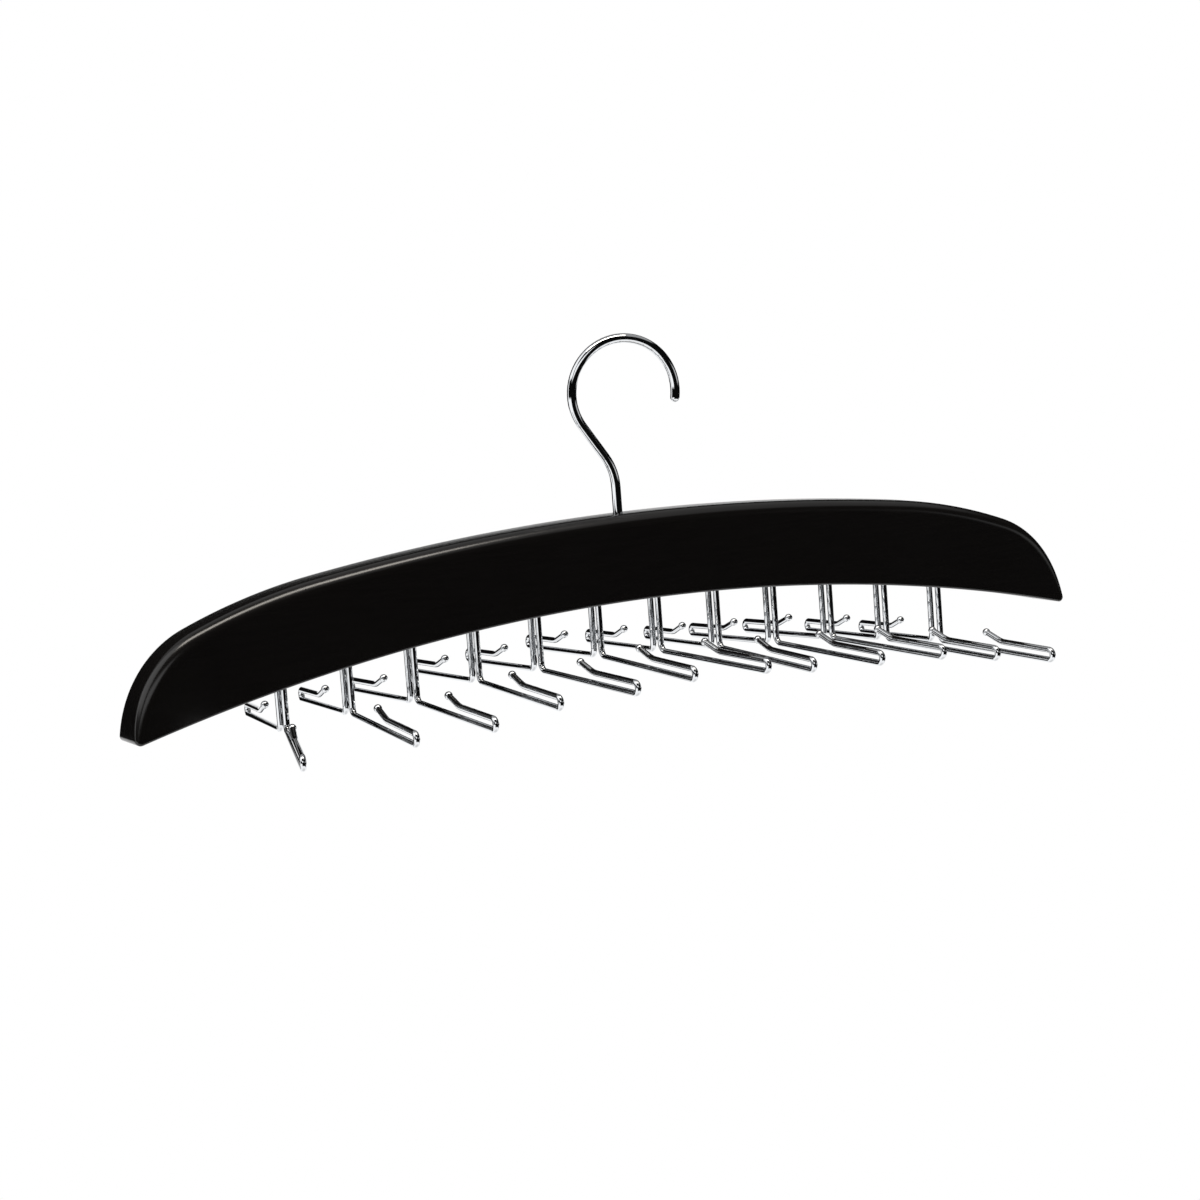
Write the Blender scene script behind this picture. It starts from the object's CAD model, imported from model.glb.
import math

import bpy
import numpy as np
from mathutils import Matrix, Vector


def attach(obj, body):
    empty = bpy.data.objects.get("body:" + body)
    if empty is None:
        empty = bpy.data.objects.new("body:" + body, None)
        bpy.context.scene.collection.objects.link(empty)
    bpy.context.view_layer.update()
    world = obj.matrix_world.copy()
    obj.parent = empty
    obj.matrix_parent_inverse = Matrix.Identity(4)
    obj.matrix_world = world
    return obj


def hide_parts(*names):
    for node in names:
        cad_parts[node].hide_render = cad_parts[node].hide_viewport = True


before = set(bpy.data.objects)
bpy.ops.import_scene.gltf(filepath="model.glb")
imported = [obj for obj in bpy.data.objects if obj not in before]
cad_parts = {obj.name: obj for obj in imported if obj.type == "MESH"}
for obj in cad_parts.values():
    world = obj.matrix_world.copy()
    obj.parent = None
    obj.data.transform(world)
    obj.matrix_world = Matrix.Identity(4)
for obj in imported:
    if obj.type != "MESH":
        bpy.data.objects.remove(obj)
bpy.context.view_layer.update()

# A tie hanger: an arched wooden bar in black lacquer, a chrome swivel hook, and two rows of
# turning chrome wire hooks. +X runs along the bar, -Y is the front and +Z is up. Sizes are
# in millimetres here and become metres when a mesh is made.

MM = 0.001
# Faces that meet at less than this are shaded as one surface
SMOOTH_ANGLE = math.radians(35.0)

# Wooden bar
BAR_L, BAR_T, BAR_H = 442.4, 20.0, 36.0
UNDER_R, CROWN_R, SHOULDER_R = 858.0, 1007.0, 241.0
CROWN_TURN, SHOULDER_TURN = math.radians(7.9), math.radians(21.3)
TOP_EDGE_R, UNDER_EDGE_R, TIP_R, TIP_EDGE_R = 5.0, 1.0, 2.2, 1.7
# Width of the flat ring just inside the rounded edge of each face
FACE_RIM = 0.4
RECESS_R, RECESS_H = 5.9, 5.0

# Swivel hook and washer
SWIVEL_WIRE_R = 2.0
SWIVEL_R, SWIVEL_H, SWIVEL_OFFSET = 22.6, 85.7, 6.4
SWIVEL_LEAN, SWIVEL_END = math.radians(33.0), math.radians(10.0)
SWIVEL_BEND_R = 24.0
SWIVEL_TURN = math.radians(-11.0)
HEAD_R, HEAD_H = 3.6, 2.0
WASHER_R, WASHER_T, WASHER_EASE = 5.5, 1.2, 0.15
# Play of the wire in the washer, and of the head under it
WASHER_FIT = 0.05

# Tie hooks
WIRE_R = 1.3
ARM_L, ARM_DROOP = 71.0, math.radians(2.8)
ARM_BEND_R = 3.0
RETURN_R, RETURN_L = 2.15, 26.6
LIFT_BEND_R, LIFT_L, LIFT_TURN = 14.0, 7.6, math.radians(18.0)
BEAD_R = 1.7
SHANK_IN = 16.0
# The ring that keeps the shank in the wood: its length, and how far it stands out
KEEPER_L, KEEPER_OUT = 1.2, 0.4
PITCH, ROW_Y = 28.5, 3.2
# Depth of each arm under the bar, from the left, and its turn from square to the bar in degrees
HOOK_DROP = [18, 20.2, 23.3, 21.9, 23, 22, 23.5, 25, 24.9, 23.8, 24.2, 24]
FRONT_TURN = [-18, -4, 0, 0, 5, 3, 8, 2, 6, 8, 7, 7]
BACK_TURN = [11, 8, 4, 4, 3, 4, 5, 6, 2, 2, 6, 7]

# The rod's seat stands this far above the bar's underside
SEAT_Z = SWIVEL_H + math.sqrt((SWIVEL_R - SWIVEL_WIRE_R) ** 2 - SWIVEL_OFFSET ** 2)
# Gap seen round each shank at the mouth of its hole
MOUTH_GAP = 0.2
# How far a bore cutter starts outside the wood
CUTTER_PAST = 3.0


# Meshes

def toward(turn):
    """Unit vectors (x, z) at angles measured from straight up towards +X."""
    return np.stack([np.sin(turn), np.cos(turn)], axis=-1)


def circle(steps):
    """Points (cos, sin) of a unit circle, evenly spaced from +X."""
    phi = np.linspace(0.0, 2.0 * np.pi, steps, endpoint=False)
    return np.stack([np.cos(phi), np.sin(phi)], axis=-1)


def put_mesh(name, points, faces):
    """A mesh object from points in millimetres and a list of faces."""
    mesh = bpy.data.meshes.new(name)
    mesh.from_pydata((np.asarray(points) * MM).tolist(), [], faces)
    mesh.validate()
    mesh.shade_smooth()
    mesh.set_sharp_from_angle(angle=SMOOTH_ANGLE)
    piece = bpy.data.objects.new(name, mesh)
    bpy.context.scene.collection.objects.link(piece)
    return piece


def outward(points, faces):
    """Faces turned outwards: a closed mesh's signed volume, summed over fans, is positive."""
    volume = 0.0
    p = np.asarray(points)
    for size in (3, 4):
        ring = np.array([f for f in faces if len(f) == size])
        for k in range(1, size - 1) if len(ring) else ():
            a, b, c = p[ring[:, 0]], p[ring[:, k]], p[ring[:, k + 1]]
            volume += np.einsum("ij,ij->i", a, np.cross(b, c)).sum()
    return faces if volume > 0 else [tuple(reversed(f)) for f in faces]


def skin(grid, poles=True):
    """Points and quads of a grid of rings. Each row is a closed ring. With poles, the first and
    the last ring shrink to one point each, joined to their neighbours by triangles."""
    around = grid.shape[1]
    body = grid[1:-1] if poles else grid
    points = body.reshape(-1, 3)
    base = np.arange(len(body) - 1)[:, None] * around
    here = np.arange(around)[None, :]
    beside = (here + 1) % around
    quads = np.stack([base + here, base + beside, base + around + beside, base + around + here], -1)
    faces = quads.reshape(-1, 4).tolist()
    if poles:
        first, last = len(points), len(points) + 1
        points = np.concatenate([points, grid[:1].mean(axis=1), grid[-1:].mean(axis=1)])
        end = (len(body) - 1) * around
        faces += [(first, b, a) for a, b in zip(here[0].tolist(), beside[0].tolist())]
        faces += [(last, end + a, end + b) for a, b in zip(here[0].tolist(), beside[0].tolist())]
    return points, outward(points, faces)


def revolve(profile, centre, around=48):
    """A closed surface of revolution about an upright axis: radius and height of each profile
    point, turned through a full circle. The first and last radius are zero."""
    profile = np.asarray(profile, float)
    ring = np.insert(circle(around), 2, 0.0, axis=1)
    up = np.array([0.0, 0.0, 1.0])
    grid = profile[:, 0, None, None] * ring[None] + profile[:, 1, None, None] * up
    return skin(grid + np.asarray(centre, float))


class WireLine:
    """A flat line of straight runs and circular bends, by its length s. On a run the point is
    start + s * heading. On a bend of curvature k it is start + (sin(h + k s) - sin h,
    cos h - cos(h + k s)) / k, where h is the heading at its start."""

    # A bend is stepped at least this often, and a run only at its ends
    STEP = math.radians(5.0)

    def __init__(self, start, heading, legs):
        point, self.s0, self.p0, self.h0, self.k = np.array(start, float), [0.0], [], [], []
        marks = []
        for length, curvature in legs:
            self.p0.append(point)
            self.h0.append(heading)
            self.k.append(curvature)
            steps = int(abs(curvature * length) / self.STEP) + 1
            marks.append(self.s0[-1] + np.linspace(0.0, length, steps + 1))
            point = point + self.move(heading, curvature, np.array([length]))[0]
            heading = heading + curvature * length
            self.s0.append(self.s0[-1] + length)
        self.length = self.s0[-1]
        self.marks = np.unique(np.round(np.concatenate(marks), 6))

    @staticmethod
    def move(heading, curvature, s):
        """How far a leg goes in a length s from where it has this heading."""
        flat = np.asarray(curvature) == 0.0
        k = np.where(flat, 1.0, curvature)
        after = heading + k * s
        bent = np.stack([np.sin(after) - np.sin(heading), np.cos(heading) - np.cos(after)], -1)
        straight = np.stack([s * np.cos(heading), s * np.sin(heading)], -1)
        return np.where(flat[..., None], straight, bent / k[..., None])

    def at(self, s):
        """Points and headings at lengths s. Past either end the line runs on as it was."""
        leg = np.clip(np.searchsorted(self.s0, s, side="right") - 1, 0, len(self.k) - 1)
        past = np.maximum(s - self.length, 0.0)
        ds = s - past - np.array(self.s0)[leg]
        h, k = np.array(self.h0)[leg], np.array(self.k)[leg]
        heading = h + k * ds
        on = np.stack([np.cos(heading), np.sin(heading)], -1)
        return np.array(self.p0)[leg] + self.move(h, k, ds) + past[:, None] * on, heading


def wire(name, line, profile, origin, turn, around=20):
    """A round wire: at each length s of the line, a circle of radius r(s) square to it. The
    profile gives (s, r), from 0 at one end to 0 at the other. The line's plane is upright
    through origin, and turned about it by an angle from +X."""
    profile = np.asarray(profile, float)
    inner = line.marks[(line.marks > profile[0, 0]) & (line.marks < profile[-1, 0])]
    s = np.concatenate([profile[:, 0], inner])
    order = np.argsort(s, kind="stable")
    r = np.concatenate([profile[:, 1], np.interp(inner, profile[:, 0], profile[:, 1])])[order]
    centre, heading = line.at(s[order])
    along = np.array([math.cos(turn), math.sin(turn), 0.0])
    up = np.array([0.0, 0.0, 1.0])
    side = np.cross(along, up)
    round_it = circle(around)
    middle = np.asarray(origin, float) + centre[:, :1] * along + centre[:, 1:] * up
    normal = -np.sin(heading)[:, None] * along + np.cos(heading)[:, None] * up
    ring = round_it[None, :, :1] * normal[:, None] + round_it[None, :, 1:] * side
    return put_mesh(name, *skin(middle[:, None] + r[:, None, None] * ring))


def ball(s, radius, start, end=math.pi / 2, steps=9):
    """(s, r) of a ball's outline about the length s, between two angles from its widest ring."""
    t = np.linspace(start, end, steps + 1)
    return list(zip(s + radius * np.sin(t), radius * np.cos(t)))


# Bar

CROWN_C = np.array([0.0, BAR_H - CROWN_R])
SHOULDER_C = CROWN_C + (CROWN_R - SHOULDER_R) * toward(CROWN_TURN)
END_R = ((BAR_L / 2 - SHOULDER_C[0] - SHOULDER_R * math.sin(SHOULDER_TURN))
         / (1.0 - math.sin(SHOULDER_TURN)))
END_C = SHOULDER_C + (SHOULDER_R - END_R) * toward(SHOULDER_TURN)
UNDER_C = np.array([0.0, -UNDER_R])


def tip_centre():
    """Centre of the tip's disc, which touches the end arc from inside and the underside from
    above: the corner of a triangle with three known sides."""
    gap = END_C - UNDER_C
    base, far, near = np.hypot(*gap), END_R - TIP_R, UNDER_R + TIP_R
    corner = math.acos((near ** 2 + base ** 2 - far ** 2) / (2.0 * near * base))
    turn = math.pi / 2 - math.atan2(gap[1], gap[0]) + corner
    return UNDER_C + near * toward(turn), turn


TIP_C, UNDER_TURN = tip_centre()
TIP_FROM = math.pi / 2 - math.atan2(TIP_C[1] - END_C[1], TIP_C[0] - END_C[0])
CROWN_STEPS, SHOULDER_STEPS, END_STEPS, TIP_STEPS = 26, 16, 24, 5
UNDER_STEPS = CROWN_STEPS + SHOULDER_STEPS + END_STEPS
# Outline points from mid top to mid underside
HALF_N = 2 * (UNDER_STEPS + TIP_STEPS)
# Steps round a long edge
EDGE_STEPS = 11


def bar_outline():
    """The bar's outline as one closed ring from mid top: points p = centre + radius * n in
    (x, z), the ways out of the wood n = toward(angle), and the rounding e of the edge at each.
    The crown, shoulder, end and tip arcs and the underside of the right half come first, then
    the same mirrored. The underside is hollow, so its radius counts as minus. Along an arc e
    goes from one value to the next by the part done, to the power ease."""
    down = math.pi
    top, tip, under = TOP_EDGE_R, TIP_EDGE_R, UNDER_EDGE_R
    # Centre, radius, end angle, steps, the edge's rounding at its end, and ease
    legs = [
        (CROWN_C, CROWN_R, CROWN_TURN, CROWN_STEPS, top, 1),
        (SHOULDER_C, SHOULDER_R, SHOULDER_TURN, SHOULDER_STEPS, top, 1),
        (END_C, END_R, TIP_FROM, END_STEPS, tip, 4),
        (TIP_C, TIP_R, down + UNDER_TURN, 2 * TIP_STEPS, under, 1),
        (UNDER_C, -UNDER_R, down, UNDER_STEPS, under, 1),
    ]
    p, n, e = [np.array([[0.0, BAR_H]])], [np.array([[0.0, 1.0]])], [np.array([TOP_EDGE_R])]
    start, edge_from = 0.0, top
    for centre, radius, end, steps, edge_to, ease in legs:
        part = np.arange(1, steps + 1) / steps
        way = toward(start + (end - start) * part)
        p.append(centre + radius * way)
        n.append(way)
        e.append(edge_from + (edge_to - edge_from) * part ** ease)
        start, edge_from = end, edge_to
    p, n, e = np.concatenate(p), np.concatenate(n), np.concatenate(e)
    mirror = [-1.0, 1.0]
    p = np.concatenate([p, p[-2:0:-1] * mirror])
    n = np.concatenate([n, n[-2:0:-1] * mirror])
    return p, n, np.concatenate([e, e[-2:0:-1]])


def under_z(x):
    """Height of the arched underside over a place along the bar."""
    return np.sqrt(UNDER_R ** 2 - np.asarray(x, float) ** 2) - UNDER_R


def bar_body():
    """The bar before drilling. Its outline is carried from front to back. Where the long edges
    round, a point p with the way out n and the rounding e lies at p - e (1 - sin a) n, and
    e (1 - cos a) in from the face. A last ring just inside each face keeps the rounding's
    shading off the flat wood, and rungs fill the face."""
    outline, way, edge = bar_outline()

    def ring(side, inset, depth):
        at = outline - inset[:, None] * way
        return np.stack([at[:, 0], side * (BAR_T / 2 - depth), at[:, 1]], -1)

    def half(side):
        rim = ring(side, edge + FACE_RIM * edge / TOP_EDGE_R, np.zeros_like(edge))
        turns = np.linspace(0.0, math.pi / 2, EDGE_STEPS + 1)
        return [rim] + [ring(side, edge * (1.0 - math.sin(a)), edge * (1.0 - math.cos(a))) for a in turns]

    rings = np.stack(half(-1) + half(1)[::-1])
    points, sides = skin(rings, poles=False)
    around, quarter = 2 * HALF_N, HALF_N // 2
    i = np.arange(quarter - 1)
    rungs = np.stack([i, i + 1, HALF_N - 1 - i, HALF_N - i], -1)
    right = rungs.tolist() + [(quarter - 1, quarter, quarter + 1)]
    left = [tuple((around - v) % around for v in reversed(f)) for f in right]
    # The back's faces run with the outline, and the front's against it
    last = (len(rings) - 1) * around
    front = [tuple(reversed(f)) for f in right + left]
    back = [tuple(last + v for v in f) for f in right + left]
    return points, outward(points, [tuple(f) for f in sides] + front + back)


def drilled(points, faces, cutters):
    """The bar with its holes cut: a boolean difference with every cutter at once."""
    bar = put_mesh("lacquered_bar", points, faces)
    offset, all_points, all_faces = 0, [], []
    for p, f in cutters:
        all_points.append(p)
        all_faces += [tuple(offset + v for v in face) for face in f]
        offset += len(p)
    tool = put_mesh("bore_cutters", np.concatenate(all_points), all_faces)
    cut = bar.modifiers.new("bores", "BOOLEAN")
    cut.operation = "DIFFERENCE"
    cut.solver = "EXACT"
    cut.object = tool
    bpy.context.view_layer.update()
    shaped = bar.evaluated_get(bpy.context.evaluated_depsgraph_get())
    mesh = bpy.data.meshes.new_from_object(shaped)
    bar.modifiers.clear()
    bar.data = mesh
    mesh.shade_smooth()
    mesh.set_sharp_from_angle(angle=SMOOTH_ANGLE)
    bpy.data.objects.remove(tool)
    return bar


# Materials

def linear(hex_colour):
    """An sRGB hex colour as linear RGBA."""
    v = np.array([int(hex_colour[i:i + 2], 16) for i in (1, 3, 5)]) / 255.0
    v = np.where(v <= 0.04045, v / 12.92, ((v + 0.055) / 1.055) ** 2.4)
    return (*v.tolist(), 1.0)


def add(tree, kind, settings=None, inputs=None, links=None):
    """Adds a node, with its settings, its input values, and links into its inputs."""
    node = tree.nodes.new(kind)
    for key, value in (settings or {}).items():
        setattr(node, key, value)
    for key, value in (inputs or {}).items():
        node.inputs[key].default_value = value
    for key, socket in (links or {}).items():
        tree.links.new(socket, node.inputs[key])
    return node


def new_material(name):
    """A material with its node tree emptied, and its output node."""
    material = bpy.data.materials.new(name)
    material.use_nodes = True
    material.node_tree.nodes.clear()
    return material, material.node_tree, add(material.node_tree, "ShaderNodeOutputMaterial")


def per_mm(size):
    """Noise scale, in waves to the metre, for features of a size in millimetres."""
    return 1.0 / (size * MM)


def black_lacquered_hardwood():
    """Beech or a like close hardwood, sanded, stained and sprayed with satin black lacquer: a
    near-black body, a soft sheen, faint long grain under the film and a slight ripple in it."""
    material, tree, out = new_material("black_satin_lacquer_on_hardwood")
    coords = add(tree, "ShaderNodeTexCoord").outputs["Object"]
    # Grain runs along the bar: 0.9 mm wide and 20 times as long
    along = add(tree, "ShaderNodeMapping", inputs={"Scale": (0.05, 1.0, 1.0)}, links={"Vector": coords})
    grain = add(tree, "ShaderNodeTexNoise", inputs={"Scale": per_mm(0.9), "Detail": 3.0, "Roughness": 0.55},
                links={"Vector": along.outputs[0]})
    # Spray ripple, about 5 mm from crest to crest
    ripple = add(tree, "ShaderNodeTexNoise", inputs={"Scale": per_mm(5.0), "Detail": 1.0},
                 links={"Vector": coords})
    # Sheen that drifts over 40 mm
    drift = add(tree, "ShaderNodeTexNoise", inputs={"Scale": per_mm(40.0), "Detail": 2.0},
                links={"Vector": coords})
    colour = add(tree, "ShaderNodeMix", {"data_type": "RGBA"},
                 {6: linear("#0d0c0c"), 7: linear("#191716")}, {0: grain.outputs[0]})
    rough = add(tree, "ShaderNodeMapRange", inputs={"To Min": 0.16, "To Max": 0.24},
                links={"Value": drift.outputs[0]})
    wave = add(tree, "ShaderNodeBump", inputs={"Strength": 0.15, "Distance": 0.04 * MM},
               links={"Height": ripple.outputs[0]})
    bump = add(tree, "ShaderNodeBump", inputs={"Strength": 0.2, "Distance": 0.02 * MM},
               links={"Height": grain.outputs[0], "Normal": wave.outputs[0]})
    shader = add(tree, "ShaderNodeBsdfPrincipled", inputs={"IOR": 1.5},
                 links={"Base Color": colour.outputs[2], "Roughness": rough.outputs[0],
                        "Normal": bump.outputs[0]})
    tree.links.new(shader.outputs[0], out.inputs[0])
    return material


def chrome_plated_wire():
    """Drawn steel wire, bent and then chrome plated: a clear mirror with a slight waviness
    from the wire's drawn skin, which makes the reflections' edges run unevenly."""
    material, tree, out = new_material("chrome_plated_steel_wire")
    coords = add(tree, "ShaderNodeTexCoord").outputs["Object"]
    # Waviness under the plating, 2.5 mm from crest to crest
    wavy = add(tree, "ShaderNodeTexNoise", inputs={"Scale": per_mm(2.5), "Detail": 2.0},
               links={"Vector": coords})
    # Haze patches, 6 mm across
    haze = add(tree, "ShaderNodeTexNoise", inputs={"Scale": per_mm(6.0), "Detail": 1.0},
               links={"Vector": coords})
    colour = add(tree, "ShaderNodeMix", {"data_type": "RGBA"},
                 {6: linear("#cfd1d4"), 7: linear("#dcdee0")}, {0: haze.outputs[0]})
    rough = add(tree, "ShaderNodeMapRange", inputs={"To Min": 0.02, "To Max": 0.06},
                links={"Value": haze.outputs[0]})
    bump = add(tree, "ShaderNodeBump", inputs={"Strength": 0.22, "Distance": 0.05 * MM},
               links={"Height": wavy.outputs[0]})
    shader = add(tree, "ShaderNodeBsdfPrincipled", inputs={"Metallic": 1.0},
                 links={"Base Color": colour.outputs[2], "Roughness": rough.outputs[0],
                        "Normal": bump.outputs[0]})
    tree.links.new(shader.outputs[0], out.inputs[0])
    return material


def white_floor():
    """Matt white paper. What the camera, metal and glass see of it is lifted towards white, and
    the object's soft shadow stays in it."""
    material, tree, out = new_material("matt_white_paper")
    path = add(tree, "ShaderNodeLightPath").outputs
    seen = add(tree, "ShaderNodeMath", {"operation": "MAXIMUM"},
               links={0: path["Is Camera Ray"], 1: path["Is Glossy Ray"]})
    seen = add(tree, "ShaderNodeMath", {"operation": "MAXIMUM"},
               links={0: seen.outputs[0], 1: path["Is Transmission Ray"]})
    lift = add(tree, "ShaderNodeMath", {"operation": "MULTIPLY"}, {1: FLOOR_LIFT}, {0: seen.outputs[0]})
    paper = add(tree, "ShaderNodeBsdfDiffuse", inputs={"Color": linear("#f2f2f2")})
    glow = add(tree, "ShaderNodeEmission", inputs={"Color": linear("#ffffff")},
               links={"Strength": lift.outputs[0]})
    both = add(tree, "ShaderNodeAddShader", links={0: paper.outputs[0], 1: glow.outputs[0]})
    tree.links.new(both.outputs[0], out.inputs[0])
    return material


# Camera

# A long lens in front of the bar, to its left and a little above it. The place is in metres.
# The axes are the picture's right, its up, and the way back to the camera.
LENS, SENSOR_W = 86.39, 36.0
CAMERA_PLACE = (-0.5757, -1.0454, 0.0472)
CAMERA_AXES = [(0.87305, -0.48195, -0.07424), (0.12578, 0.07547, 0.98918), (-0.47114, -0.87294, 0.12651)]

camera = bpy.data.objects.new("camera", bpy.data.cameras.new("camera"))
bpy.context.scene.collection.objects.link(camera)
camera.data.sensor_width = SENSOR_W
camera.data.lens = LENS
camera.matrix_world = Matrix([*zip(*CAMERA_AXES, CAMERA_PLACE), (0.0, 0.0, 0.0, 1.0)])
bpy.context.scene.camera = camera
bpy.context.scene.view_settings.view_transform = "Standard"


# Floor, world and lamps

FLOOR_Z, FLOOR_R, FLOOR_LIFT, FLOOR_SIDES = -1400.0, 700.0, 0.55, 96
# Azimuth and half width in degrees, lower and upper height, and brightness of each white sheet
WHITE_SHEETS = [
    (61.6, 22.0, -0.6, 0.14, 1.0),  # backdrop
    (56.0, 60.0, -0.54, -0.2, 1.2),  # its foot
    (182.0, 40.0, -0.6, -0.07, 1.35),  # low wall on the left
    (172.0, 34.0, 0.34, 0.95, 1.35),  # high wall on the left
    (151.0, 9.0, -0.3, 0.5, 1.3),  # post that joins them
    (240.0, 20.0, 0.2, 0.5, 1.35),  # screen high up in front on the left
    (0.0, 180.0, -1.2, -0.55, 1.25),  # table
    (60.0, 130.0, 0.62, 0.97, 0.4),  # ceiling
    (-34.0, 16.0, 0.0, 0.2, 0.6),  # faint screen on the right
]
# Softness of a sheet's upright sides, as an angle, and of its level ones, as a height
SIDE_SOFT, LEVEL_SOFT = math.radians(2.0), 0.03
# Brightness of the room between the sheets, and of the plain light on matt finishes
DARK_WALL, PLAIN_LIGHT = 0.004, 0.3

# Faces look up: the points run clockwise seen from above, and the face takes them backwards
floor_edge = FLOOR_R * toward(np.linspace(0, 2 * np.pi, FLOOR_SIDES, endpoint=False))
floor = put_mesh("floor", np.insert(floor_edge, 2, FLOOR_Z, axis=1), [tuple(range(FLOOR_SIDES - 1, -1, -1))])
floor.data.materials.append(white_floor())


def between(tree, value, low, high, soft):
    """1 where a value lies between two limits and 0 outside, with soft edges."""
    up = add(tree, "ShaderNodeMapRange", inputs={"From Min": low - soft, "From Max": low + soft},
             links={"Value": value})
    down = add(tree, "ShaderNodeMapRange", inputs={"From Min": high + soft, "From Max": high - soft},
               links={"Value": value})
    return add(tree, "ShaderNodeMath", {"operation": "MULTIPLY"},
               links={0: up.outputs[0], 1: down.outputs[0]}).outputs[0]


def white_sheet(tree, height, azimuth, turn, half_width, low, high, brightness):
    """A white sheet in a dark room: azimuths within half_width of turn, between two heights.
    Angles are in degrees from +X, and a height is the sine of the elevation."""
    offset = add(tree, "ShaderNodeMath", {"operation": "SUBTRACT"}, {1: math.radians(turn)}, {0: azimuth})
    wrapped = add(tree, "ShaderNodeMath", {"operation": "WRAP"}, {1: math.pi, 2: -math.pi},
                  {0: offset.outputs[0]})
    half = math.radians(half_width)
    wide = between(tree, wrapped.outputs[0], -half, half, SIDE_SOFT)
    tall = between(tree, height, low, high, LEVEL_SOFT)
    sheet = add(tree, "ShaderNodeMath", {"operation": "MULTIPLY"}, links={0: wide, 1: tall})
    return add(tree, "ShaderNodeMath", {"operation": "MULTIPLY"}, {1: brightness},
               {0: sheet.outputs[0]}).outputs[0]


def studio_world():
    """White to the camera and through glass. The shiny finishes see a dark room with white
    sheets in it, and the matt ones a plain light."""
    world = bpy.data.worlds.new("studio")
    world.use_nodes = True
    tree = world.node_tree
    tree.nodes.clear()
    out = add(tree, "ShaderNodeOutputWorld")
    path = add(tree, "ShaderNodeLightPath").outputs
    way = add(tree, "ShaderNodeSeparateXYZ",
              links={0: add(tree, "ShaderNodeTexCoord").outputs["Generated"]}).outputs
    azimuth = add(tree, "ShaderNodeMath", {"operation": "ARCTAN2"}, links={0: way[1], 1: way[0]})
    sheets = [white_sheet(tree, way[2], azimuth.outputs[0], *sheet) for sheet in WHITE_SHEETS]
    room = add(tree, "ShaderNodeMath", {"operation": "MAXIMUM"}, {1: DARK_WALL}, {0: sheets[0]})
    for sheet in sheets[1:]:
        room = add(tree, "ShaderNodeMath", {"operation": "MAXIMUM"}, links={0: room.outputs[0], 1: sheet})
    plain = add(tree, "ShaderNodeMix", {"data_type": "FLOAT"}, {2: PLAIN_LIGHT},
                {0: path["Is Glossy Ray"], 3: room.outputs[0]})
    seen = add(tree, "ShaderNodeMath", {"operation": "MAXIMUM"},
               links={0: path["Is Camera Ray"], 1: path["Is Transmission Ray"]})
    strength = add(tree, "ShaderNodeMix", {"data_type": "FLOAT"}, {3: 1.0},
                   {0: seen.outputs[0], 2: plain.outputs[0]})
    back = add(tree, "ShaderNodeBackground", inputs={"Color": linear("#ffffff")},
               links={"Strength": strength.outputs[0]})
    tree.links.new(back.outputs[0], out.inputs[0])
    bpy.context.scene.world = world


def softbox(name, place, aim, size, radiance, tint):
    """A rectangular lamp whose face has a plain brightness: power = pi * area * radiance."""
    lamp = bpy.data.lights.new(name, "AREA")
    lamp.shape = "RECTANGLE"
    lamp.size, lamp.size_y = size
    lamp.energy = math.pi * size[0] * size[1] * radiance
    lamp.color = linear(tint)[:3]
    box = bpy.data.objects.new(name, lamp)
    bpy.context.scene.collection.objects.link(box)
    box.location = place
    box.rotation_euler = (Vector(place) - Vector(aim)).to_track_quat("Z", "Y").to_euler()


studio_world()
# Over the bar and a little in front, aimed at the bar's middle, in metres
softbox("overhead_softbox", (-0.1, -0.35, 1.15), (0.0, 0.0, -0.08), size=(1.1, 0.35), radiance=9.0,
        tint="#fff8ee")


# Pieces

LACQUER = black_lacquered_hardwood()
CHROME = chrome_plated_wire()


def dress(piece, body, material, slot, *nodes):
    """Gives a piece its material and slot, lets it ride on its body, and puts it in the place
    of its nodes."""
    piece.data.materials.clear()
    piece.data.materials.append(material)
    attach(piece, body)
    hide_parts(*nodes)


def stations():
    """(node name, side, x, drop, turn) of every tie hook, from the left, front row first."""
    middle = (len(HOOK_DROP) + 1) / 2
    for side, row, turns in ((-1, "front", FRONT_TURN), (1, "back", BACK_TURN)):
        for k, (drop, turn) in enumerate(zip(HOOK_DROP, turns), start=1):
            yield f"{row}_tie_hook_{k:02d}", side, (k - middle) * PITCH, drop, math.radians(turn)


def make_bar():
    """The bar with a blind hole for each shank, and a through hole with a recess under it."""
    cutters = []
    r = WIRE_R + MOUTH_GAP
    for _, side, x, _, _ in stations():
        mouth = float(under_z(x))
        low, high = mouth - CUTTER_PAST, mouth + SHANK_IN
        cutters.append(revolve([(0, low), (r, low), (r, high), (0, high)], (x, side * ROW_Y, 0), 24))
    r, low, high = SWIVEL_WIRE_R + MOUTH_GAP, -CUTTER_PAST, BAR_H + CUTTER_PAST
    cutters.append(revolve([(0, low), (RECESS_R, low), (RECESS_R, RECESS_H), (r, RECESS_H), (r, high),
                            (0, high)], (0, 0, 0)))
    points, faces = bar_body()
    bar = drilled(points, faces, cutters)
    bar.data.transform(Matrix.Translation((0, 0, -SEAT_Z * MM)))
    dress(bar, "bar", LACQUER, "wood", "wooden_bar")


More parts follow.
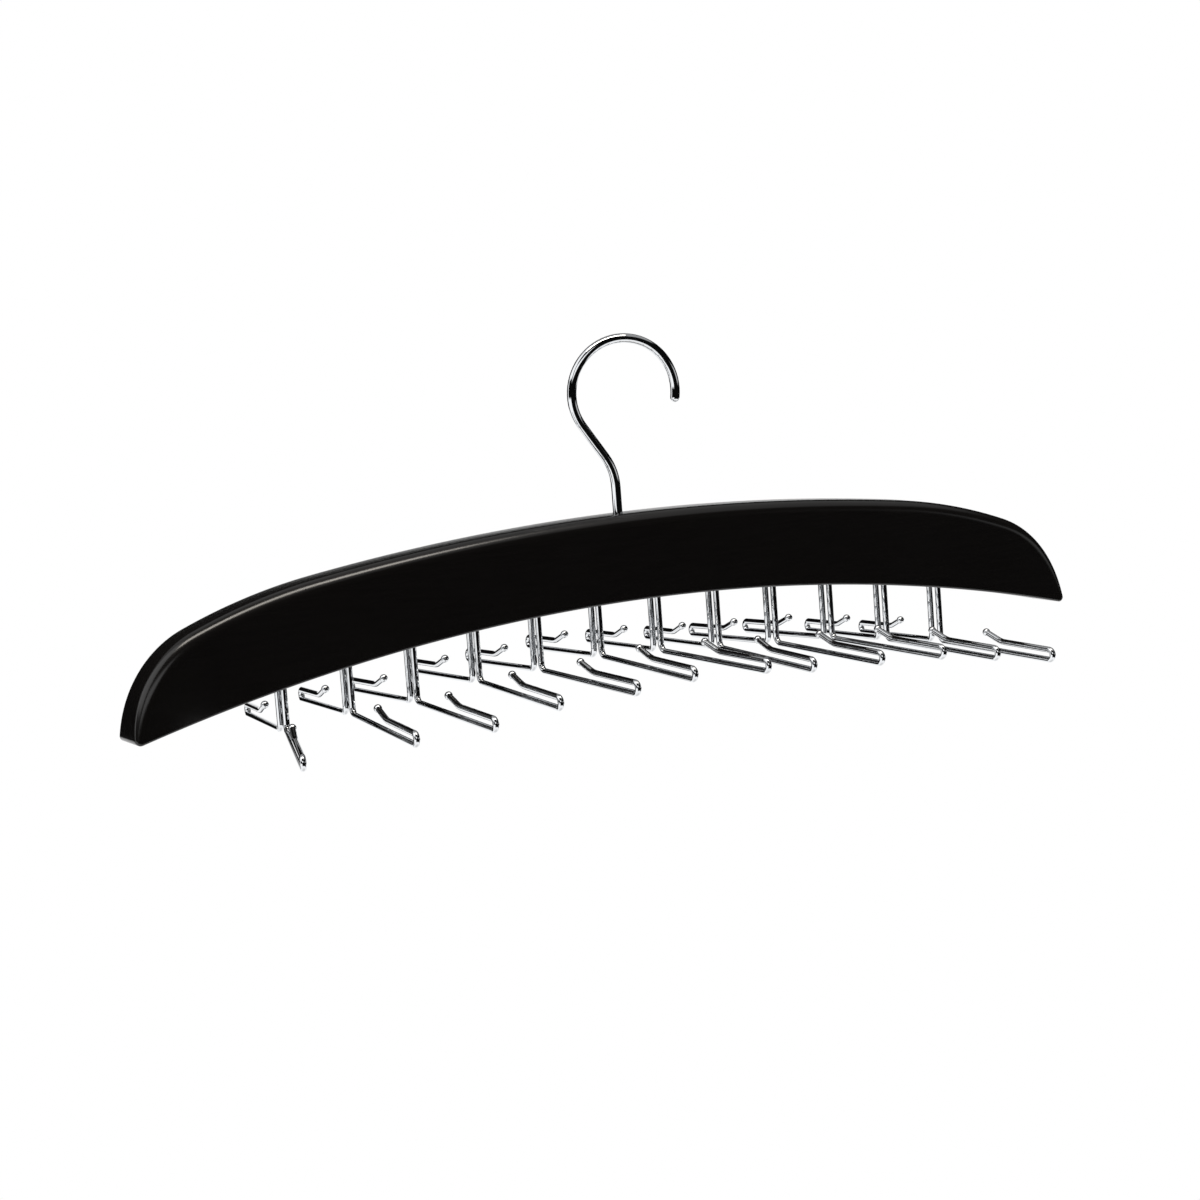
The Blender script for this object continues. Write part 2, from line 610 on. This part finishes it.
def make_washer():
    """A flat washer: its section is a rectangle with four eased corners, turned about Z."""
    ease, hole, around = WASHER_EASE, SWIVEL_WIRE_R + WASHER_FIT, 64
    section = np.array([(hole + ease, 0), (WASHER_R - ease, 0), (WASHER_R, ease),
                        (WASHER_R, WASHER_T - ease), (WASHER_R - ease, WASHER_T),
                        (hole + ease, WASHER_T), (hole, WASHER_T - ease), (hole, ease)])
    n = len(section)
    spun = section[None, :, :1] * circle(around)[:, None]
    heights = np.broadcast_to(section[None, :, 1:], (around, n, 1))
    points = np.concatenate([spun, heights], -1).reshape(-1, 3) + [0.0, 0.0, RECESS_H - WASHER_T - SEAT_Z]
    i, j = np.meshgrid(np.arange(around), np.arange(n), indexing="ij")
    here, there, after = i * n, (i + 1) % around * n, (j + 1) % n
    faces = np.stack([here + j, there + j, there + after, here + after], -1).reshape(-1, 4).tolist()
    dress(put_mesh("washer", points, outward(points, faces)), "bar", CHROME, "chrome", "hook_washer")


def make_swivel_hook():
    """Riveted head, upright shank, bend to the left, leaning run, and the round part."""
    r, lean = SWIVEL_WIRE_R, SWIVEL_LEAN
    c = np.array([SWIVEL_OFFSET, SWIVEL_H])
    leave = c - SWIVEL_R * np.array([math.cos(lean), math.sin(lean)])
    run_l = -leave[0] / math.sin(lean)
    knee_z = leave[1] - run_l * math.cos(lean)
    cut = SWIVEL_BEND_R * math.tan(lean / 2)
    head_z = RECESS_H - WASHER_T - WASHER_FIT - HEAD_H
    legs = [(knee_z - cut - head_z, 0.0), (SWIVEL_BEND_R * lean, 1.0 / SWIVEL_BEND_R), (run_l - cut, 0.0),
            (SWIVEL_R * (math.pi + lean + SWIVEL_END), -1.0 / SWIVEL_R)]
    line = WireLine((0.0, head_z), math.pi / 2, legs)
    # Length and radius along the head: a flat with an eased corner, a cone, and the neck
    head = [(0, 0), (0, 2.2), (0.12, 2.5), (0.5, 2.8), (1.6, 3.4), (1.85, HEAD_R - 0.08),
            (HEAD_H - 0.02, HEAD_R - 0.3), (HEAD_H, r + 0.2), (HEAD_H + 0.15, r)]
    profile = head + ball(line.length, r, 0.0)
    piece = wire("swivel_wire_hook", line, profile, (0, 0, -SEAT_Z), SWIVEL_TURN, around=32)
    dress(piece, "swivel_hook", CHROME, "chrome", "swivel_hook")


def make_tie_hooks():
    """Each hook from the top of its shank: down, round the corner, along the arm, back over
    the return bend, and up the lifted end to its bead."""
    for node, side, x, drop, turn in stations():
        corner = ARM_BEND_R * math.tan((math.pi / 2 - ARM_DROOP) / 2)
        legs = [
            (drop + SHANK_IN - corner, 0.0),
            (ARM_BEND_R * (math.pi / 2 - ARM_DROOP), 1.0 / ARM_BEND_R),
            (ARM_L - RETURN_R - WIRE_R - corner, 0.0),
            (RETURN_R * math.pi, 1.0 / RETURN_R),
            (RETURN_L, 0.0),
            (LIFT_BEND_R * LIFT_TURN, -1.0 / LIFT_BEND_R),
            (LIFT_L, 0.0),
        ]
        line = WireLine((0.0, drop + SHANK_IN), -math.pi / 2, legs)
        chamfer = 0.2
        top = [(0, 0), (0, WIRE_R - chamfer), (chamfer, WIRE_R)]
        low, high, out = SHANK_IN / 2 - KEEPER_L, SHANK_IN / 2, WIRE_R + KEEPER_OUT
        keeper = [(low, WIRE_R), (low, out), (high, out), (high, WIRE_R)]
        bead = ball(line.length, BEAD_R, -math.acos(WIRE_R / BEAD_R), steps=14)
        origin = (x, side * ROW_Y, float(under_z(x)) - drop - SEAT_Z)
        arm_turn = side * (math.pi / 2 - turn)
        piece = wire(node.replace("tie_hook", "wire_hook"), line, top + keeper + bead, origin, arm_turn)
        dress(piece, node, CHROME, "chrome", node)


make_bar()
make_washer()
make_swivel_hook()
make_tie_hooks()
